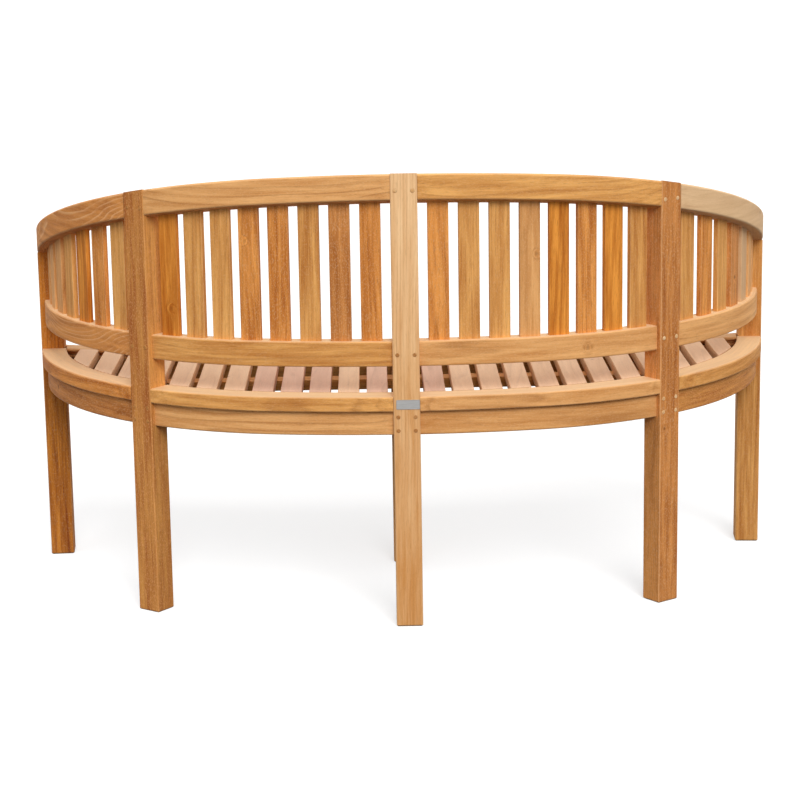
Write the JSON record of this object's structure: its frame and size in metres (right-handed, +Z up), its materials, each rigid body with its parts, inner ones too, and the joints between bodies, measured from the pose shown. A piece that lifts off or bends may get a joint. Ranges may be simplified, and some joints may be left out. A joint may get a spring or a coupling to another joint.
{
  "type": "curved garden bench",
  "caption": "Curved slatted timber garden bench with a bowed rail-and-slat back that slopes down to the front and parallel seat slats.",
  "frame": {"origin": "on the floor, at the middle of the bench's width and depth", "axes": "+X to the sitter's right, +Y the way the sitter faces, +Z up"},
  "size_m": [1.5074, 0.6058, 0.86],
  "materials": {
    "post_wood": "sanded teak, unfinished",
    "rail_wood": "sanded teak, unfinished",
    "back_slat_wood": "sanded teak, unfinished",
    "seat_slat_wood": "sanded teak, unfinished",
    "peg_wood": "sanded end grain",
    "plate": "brushed"
  },
  "bodies": {
    "root": {"apron_left_end": "rail_wood", "apron_left_middle": "rail_wood", "apron_right_end": "rail_wood", "apron_right_middle": "rail_wood", "back_slats_left_end": "back_slat_wood", "back_slats_left_middle": "back_slat_wood", "back_slats_right_end": "back_slat_wood", "back_slats_right_middle": "back_slat_wood", "bearer_left": "rail_wood", "bearer_middle": "rail_wood", "bearer_right": "rail_wood", "front_apron_left": "rail_wood", "front_apron_right": "rail_wood", "front_board": "rail_wood", "front_leg": "post_wood", "joint_pegs": "peg_wood", "left_corner_post": "post_wood", "left_end_post": "post_wood", "lower_rail_left_end": "rail_wood", "lower_rail_left_middle": "rail_wood", "lower_rail_right_end": "rail_wood", "lower_rail_right_middle": "rail_wood", "middle_post": "post_wood", "name_plate": "plate", "right_corner_post": "post_wood", "right_end_post": "post_wood", "seat_batten": "rail_wood", "seat_board_left_end": "rail_wood", "seat_board_left_middle": "rail_wood", "seat_board_right_end": "rail_wood", "seat_board_right_middle": "rail_wood", "seat_slat_01": "seat_slat_wood", "seat_slat_02": "seat_slat_wood", "seat_slat_03": "seat_slat_wood", "seat_slat_04": "seat_slat_wood", "seat_slat_05": "seat_slat_wood", "seat_slat_06": "seat_slat_wood", "seat_slat_07": "seat_slat_wood", "seat_slat_08": "seat_slat_wood", "seat_slat_09": "seat_slat_wood", "seat_slat_10": "seat_slat_wood", "seat_slat_11": "seat_slat_wood", "seat_slat_12": "seat_slat_wood", "seat_slat_13": "seat_slat_wood", "seat_slat_14": "seat_slat_wood", "seat_slat_15": "seat_slat_wood", "seat_slat_16": "seat_slat_wood", "seat_slat_17": "seat_slat_wood", "seat_slat_18": "seat_slat_wood", "seat_slat_19": "seat_slat_wood", "seat_slat_20": "seat_slat_wood", "seat_slat_21": "seat_slat_wood", "seat_slat_22": "seat_slat_wood", "seat_slat_23": "seat_slat_wood", "seat_slat_24": "seat_slat_wood", "seat_slat_25": "seat_slat_wood", "top_rail_left_end": "rail_wood", "top_rail_left_middle": "rail_wood", "top_rail_right_end": "rail_wood", "top_rail_right_middle": "rail_wood"}
  },
  "joints": []
}
